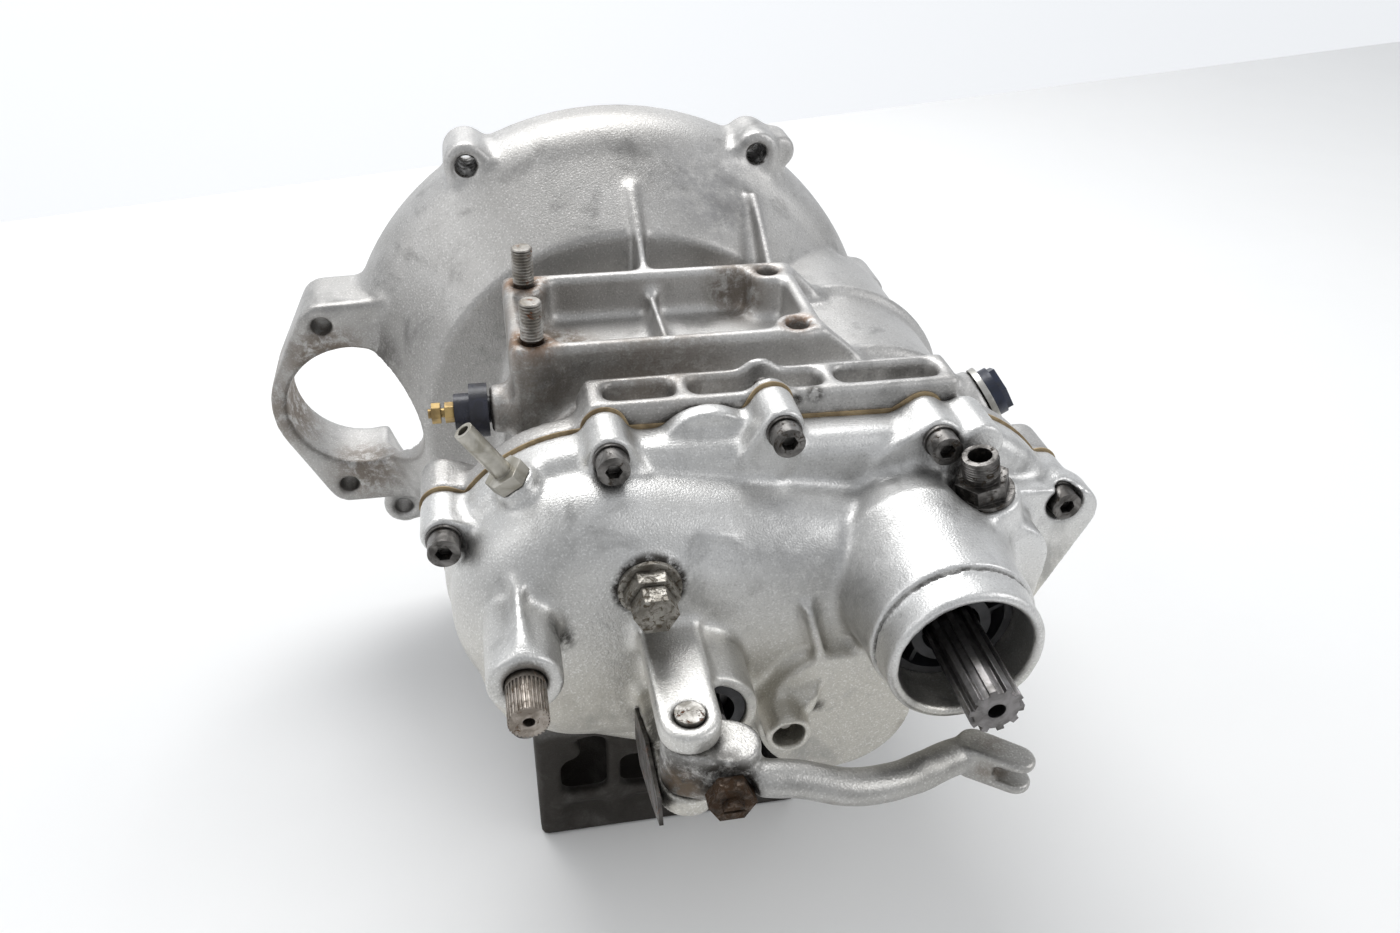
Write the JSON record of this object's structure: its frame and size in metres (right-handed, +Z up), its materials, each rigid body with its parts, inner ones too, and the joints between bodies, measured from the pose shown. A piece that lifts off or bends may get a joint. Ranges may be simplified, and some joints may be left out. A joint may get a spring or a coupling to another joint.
{
  "type": "manual transmission",
  "caption": "Compact longitudinal manual gearbox with an integral clutch bell, starter flange, splined output shaft and clutch release lever.",
  "frame": {"origin": "centre of the bell housing's mouth, on the clutch shaft axis in the engine face", "axes": "+Y forwards to the engine along the clutch shaft, +Z up, +X to the right seen from the rear"},
  "size_m": [0.3787, 0.347, 0.312],
  "materials": {
    "cast_case": "cast, dull grey with grime",
    "cast_cover": "bead blasted, fine grain",
    "gasket_paper": "tan paper, oil stained",
    "bolt_steel": "dark, oily",
    "stud_steel": "worn, rust in the threads",
    "bearing_steel": "ground",
    "gear_steel": "ground and oiled",
    "shaft_steel": "dark ground steel",
    "fork_bronze": "cast bronze",
    "seal_rubber": "black, oily",
    "black_bakelite": "worn semi gloss",
    "terminal_brass": "tarnished",
    "plated_steel": "zinc plated, dull",
    "pinion_plastic": "natural nylon",
    "lever_alloy": "cast, dirty",
    "rusty_steel": "rusted"
  },
  "bodies": {
    "housing": {"gearbox_case": "cast_case", "rear_cover": "cast_cover", "cover_gasket": "gasket_paper", "cover_bolts": "bolt_steel", "cover_washers": "bolt_steel", "bracket_studs": "stud_steel", "clutch_shaft_front_bearing": "bearing_steel", "clutch_shaft_rear_bearing": "bearing_steel", "main_shaft_front_bearing": "bearing_steel", "main_shaft_rear_bearing": "bearing_steel", "output_front_bearing": "bearing_steel", "output_rear_bearing": "bearing_steel", "input_seal": "seal_rubber", "output_seal": "seal_rubber", "speedometer_fitting": "bolt_steel", "fork_rod": "shaft_steel", "selector_adjuster_screw": "bolt_steel", "selector_locknut": "bolt_steel", "selector_washer": "bolt_steel", "neutral_switch": "black_bakelite", "switch_terminal": "terminal_brass", "breather_tube": "plated_steel", "filler_plug": "black_bakelite", "filler_washer": "plated_steel", "drain_plug": "plated_steel", "lever_pivot_pin": "plated_steel", "thrust_boot": "seal_rubber", "spring_guide": "plated_steel", "lever_side_plate": "plated_steel"},
    "main_train": {"main_shaft": "shaft_steel", "primary_gear": "gear_steel", "main_gear_first": "gear_steel", "main_gear_second": "gear_steel", "main_gear_third": "gear_steel", "main_gear_fourth": "gear_steel", "main_gear_fifth": "gear_steel"},
    "input_train": {"clutch_shaft": "shaft_steel", "primary_pinion": "gear_steel"},
    "output_train": {"output_shaft": "shaft_steel", "speedometer_worm": "gear_steel"},
    "drum": {"selector_drum": "shaft_steel"},
    "shift_lever_shaft": {"shift_shaft": "shaft_steel", "shift_arm": "shaft_steel"},
    "lever": {"clutch_lever": "lever_alloy", "lever_adjuster_screw": "rusty_steel", "lever_locknut": "rusty_steel"},
    "thrust": {"thrust_body": "shaft_steel", "clutch_pushrod": "shaft_steel"},
    "speedometer_gear": {"speedometer_pinion": "pinion_plastic"},
    "loose_gear_first": {"output_gear_first": "gear_steel"},
    "loose_gear_second": {"output_gear_second": "gear_steel"},
    "loose_gear_third": {"output_gear_third": "gear_steel"},
    "loose_gear_fourth": {"output_gear_fourth": "gear_steel"},
    "loose_gear_fifth": {"output_gear_fifth": "gear_steel"},
    "sleeve_low": {"dog_sleeve_low": "gear_steel"},
    "fork_low": {"shift_fork_low": "fork_bronze"},
    "sleeve_middle": {"dog_sleeve_middle": "gear_steel"},
    "fork_middle": {"shift_fork_middle": "fork_bronze"},
    "sleeve_top": {"dog_sleeve_top": "gear_steel"},
    "fork_top": {"shift_fork_top": "fork_bronze"}
  },
  "joints": [
    {"name": "main_spin", "type": "hinge", "parent": "housing", "child": "main_train", "pos_m": [0.068, -0.17, -0.032], "axis": [0, 1, 0], "continuous": true},
    {"name": "input_spin", "type": "hinge", "parent": "housing", "child": "input_train", "pos_m": [0, -0.15, 0], "axis": [0, 1, 0], "continuous": true},
    {"name": "output_spin", "type": "hinge", "parent": "housing", "child": "output_train", "pos_m": [0.097, -0.2, 0.03], "axis": [0, 1, 0], "continuous": true},
    {"name": "gear_first_spin", "type": "hinge", "parent": "housing", "child": "loose_gear_first", "pos_m": [0.097, -0.15, 0.03], "axis": [0, 1, 0], "continuous": true},
    {"name": "gear_second_spin", "type": "hinge", "parent": "housing", "child": "loose_gear_second", "pos_m": [0.097, -0.15, 0.03], "axis": [0, 1, 0], "continuous": true},
    {"name": "gear_third_spin", "type": "hinge", "parent": "housing", "child": "loose_gear_third", "pos_m": [0.097, -0.15, 0.03], "axis": [0, 1, 0], "continuous": true},
    {"name": "gear_fourth_spin", "type": "hinge", "parent": "housing", "child": "loose_gear_fourth", "pos_m": [0.097, -0.15, 0.03], "axis": [0, 1, 0], "continuous": true},
    {"name": "gear_fifth_spin", "type": "hinge", "parent": "housing", "child": "loose_gear_fifth", "pos_m": [0.097, -0.15, 0.03], "axis": [0, 1, 0], "continuous": true},
    {"name": "speedometer_spin", "type": "hinge", "parent": "housing", "child": "speedometer_gear", "pos_m": [0.1287, -0.255, 0.0375], "axis": [-0.2331, 0, 0.9724], "continuous": true},
    {"name": "drum_turn", "type": "hinge", "parent": "housing", "child": "drum", "pos_m": [0.008, -0.15, 0.05], "axis": [0, 1, 0], "range_deg": [-30, 30]},
    {"name": "fork_low_slide", "type": "slide", "parent": "housing", "child": "fork_low", "axis": [0, 1, 0], "range_m": [-0.0035, 0.0035]},
    {"name": "sleeve_low_slide", "type": "slide", "parent": "output_train", "child": "sleeve_low", "axis": [0, 1, 0], "range_m": [-0.0035, 0.0035]},
    {"name": "fork_middle_slide", "type": "slide", "parent": "housing", "child": "fork_middle", "axis": [0, 1, 0], "range_m": [-0.0035, 0.0035]},
    {"name": "sleeve_middle_slide", "type": "slide", "parent": "output_train", "child": "sleeve_middle", "axis": [0, 1, 0], "range_m": [-0.0035, 0.0035]},
    {"name": "fork_top_slide", "type": "slide", "parent": "housing", "child": "fork_top", "axis": [0, 1, 0], "range_m": [-0.003, 0.003]},
    {"name": "sleeve_top_slide", "type": "slide", "parent": "output_train", "child": "sleeve_top", "axis": [0, 1, 0], "range_m": [-0.003, 0.003]},
    {"name": "shift_turn", "type": "hinge", "parent": "housing", "child": "shift_lever_shaft", "pos_m": [-0.07, -0.26, 0.029], "axis": [0, 1, 0], "range_deg": [-12, 12], "stiffness_Nm_per_rad": 0.4},
    {"name": "clutch_lever_turn", "type": "hinge", "parent": "housing", "child": "lever", "pos_m": [-0.012, -0.32, 0.002], "axis": [0, 0, 1], "range_deg": [0, 8], "stiffness_Nm_per_rad": 3},
    {"name": "thrust_slide", "type": "slide", "parent": "housing", "child": "thrust", "axis": [0, 1, 0], "range_m": [0, 0.002]}
  ],
  "couplings": [
    {"joint": "input_spin", "follows": "main_spin", "ratio": -1.2353},
    {"joint": "gear_first_spin", "follows": "main_spin", "ratio": -0.62963},
    {"joint": "gear_second_spin", "follows": "main_spin", "ratio": -0.73077},
    {"joint": "gear_third_spin", "follows": "main_spin", "ratio": -0.95455},
    {"joint": "gear_fourth_spin", "follows": "main_spin", "ratio": -1.15},
    {"joint": "gear_fifth_spin", "follows": "main_spin", "ratio": -1.3333},
    {"joint": "speedometer_spin", "follows": "output_spin", "ratio": 0.35714},
    {"joint": "fork_low_slide", "follows": "drum_turn", "m_per_rad": 0.0066},
    {"joint": "sleeve_low_slide", "follows": "drum_turn", "m_per_rad": 0.0066},
    {"joint": "sleeve_middle_slide", "follows": "fork_middle_slide", "ratio": 1},
    {"joint": "sleeve_top_slide", "follows": "fork_top_slide", "ratio": 1},
    {"joint": "thrust_slide", "follows": "clutch_lever_turn", "m_per_rad": 0.012}
  ]
}
